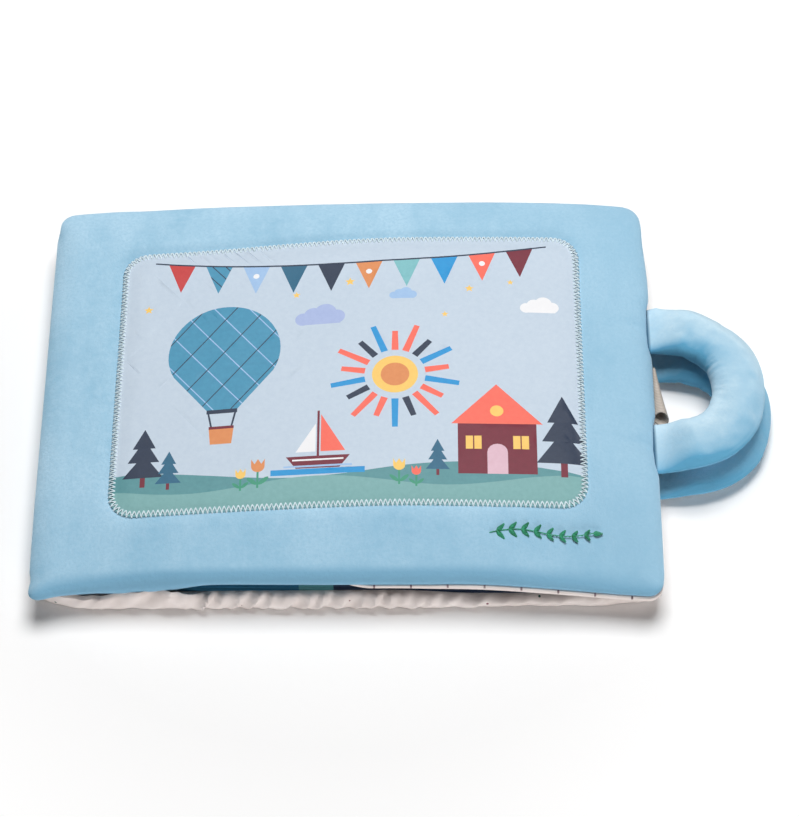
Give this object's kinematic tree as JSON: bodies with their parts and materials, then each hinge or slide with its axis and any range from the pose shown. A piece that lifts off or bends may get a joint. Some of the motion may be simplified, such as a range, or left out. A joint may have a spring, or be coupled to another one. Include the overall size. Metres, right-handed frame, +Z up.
{
  "type": "cloth activity book",
  "caption": "Padded cloth book with soft printed leaves, a sewn-on cover picture, two padded carrying handles and a ribbon loop; covers and leaves turn at the spine.",
  "frame": {"origin": "on the flat underside of the back cover, below the middle of the front cover", "axes": "+X towards the opening edge and its handles, +Y towards the top of the cover picture, +Z up out of the front cover"},
  "size_m": [0.3533, 0.2252, 0.0299],
  "materials": {
    "velour": "short soft pile",
    "wadding": "lofty polyester fill",
    "cotton_lining": "plain woven cotton with small dots",
    "picture_satin": "smooth printed satin",
    "thread": "polyester thread",
    "embroidery": "satin-stitched thread",
    "squeaker_plastic": "soft moulded",
    "reed_plastic": "moulded",
    "leaf_1_front_cotton": "printed woven cotton",
    "leaf_1_back_cotton": "printed woven cotton",
    "leaf_2_front_cotton": "printed woven cotton",
    "leaf_2_back_cotton": "printed woven cotton",
    "leaf_3_front_cotton": "printed woven cotton",
    "leaf_3_back_cotton": "printed woven cotton",
    "crinkle_film": "thin crackling film",
    "ribbon": "woven tape"
  },
  "bodies": {
    "back_cover": {"back_cover_velour": "velour", "back_cover_wadding": "wadding", "back_cover_lining": "cotton_lining", "page_binding": "cotton_lining"},
    "spine": {"spine_velour": "velour", "spine_wadding": "wadding", "spine_lining": "cotton_lining"},
    "front_cover": {"front_cover_velour": "velour", "front_cover_wadding": "wadding", "front_cover_lining": "cotton_lining", "picture_panel": "picture_satin", "panel_stitching": "thread", "sprig_embroidery": "embroidery", "squeaker_bulb": "squeaker_plastic", "squeaker_reed": "reed_plastic"},
    "leaf_1": {"leaf_1_front_print": "leaf_1_front_cotton", "leaf_1_wadding": "wadding", "leaf_1_back_print": "leaf_1_back_cotton", "leaf_1_crinkle_film": "crinkle_film"},
    "leaf_2": {"leaf_2_front_print": "leaf_2_front_cotton", "leaf_2_wadding": "wadding", "leaf_2_back_print": "leaf_2_back_cotton"},
    "leaf_3": {"leaf_3_front_print": "leaf_3_front_cotton", "leaf_3_wadding": "wadding", "leaf_3_back_print": "leaf_3_back_cotton"},
    "front_handle": {"front_handle_sleeve": "velour", "front_handle_core": "wadding"},
    "back_handle": {"back_handle_sleeve": "velour", "back_handle_core": "wadding"},
    "ribbon": {"ribbon_loop": "ribbon"}
  },
  "joints": [
    {"name": "spine_fold", "type": "hinge", "parent": "back_cover", "child": "spine", "pos_m": [-0.1475, 0, 0.0022], "axis": [0, -1, 0], "range_deg": [0, 90]},
    {"name": "cover_hinge", "type": "hinge", "parent": "spine", "child": "front_cover", "pos_m": [-0.1475, 0, 0.0283], "axis": [0, -1, 0], "range_deg": [0, 90]},
    {"name": "leaf_1_turn", "type": "hinge", "parent": "back_cover", "child": "leaf_1", "pos_m": [-0.142, 0, 0.0149], "axis": [0, -1, 0], "range_deg": [0, 144]},
    {"name": "leaf_2_turn", "type": "hinge", "parent": "back_cover", "child": "leaf_2", "pos_m": [-0.138, 0, 0.0118], "axis": [0, -1, 0], "range_deg": [0, 94.5]},
    {"name": "leaf_3_turn", "type": "hinge", "parent": "back_cover", "child": "leaf_3", "pos_m": [-0.134, 0, 0.0087], "axis": [0, -1, 0], "range_deg": [0, 45]},
    {"name": "front_handle_swing", "type": "hinge", "parent": "front_cover", "child": "front_handle", "pos_m": [0.1478, 0, 0.0175], "axis": [0, 1, 0], "range_deg": [-90, 0]},
    {"name": "back_handle_swing", "type": "hinge", "parent": "back_cover", "child": "back_handle", "pos_m": [0.1478, 0, 0.004], "axis": [0, 1, 0], "range_deg": [-45, 0]},
    {"name": "ribbon_swing", "type": "hinge", "parent": "front_cover", "child": "ribbon", "pos_m": [0.1468, 0, 0.0154], "axis": [0, 1, 0], "range_deg": [-60, 0]}
  ],
  "couplings": [
    {"joint": "cover_hinge", "follows": "spine_fold", "ratio": 1},
    {"joint": "leaf_1_turn", "follows": "spine_fold", "ratio": 1.6},
    {"joint": "leaf_2_turn", "follows": "spine_fold", "ratio": 1.05},
    {"joint": "leaf_3_turn", "follows": "spine_fold", "ratio": 0.5},
    {"joint": "back_handle_swing", "follows": "front_handle_swing", "ratio": 0.5}
  ]
}
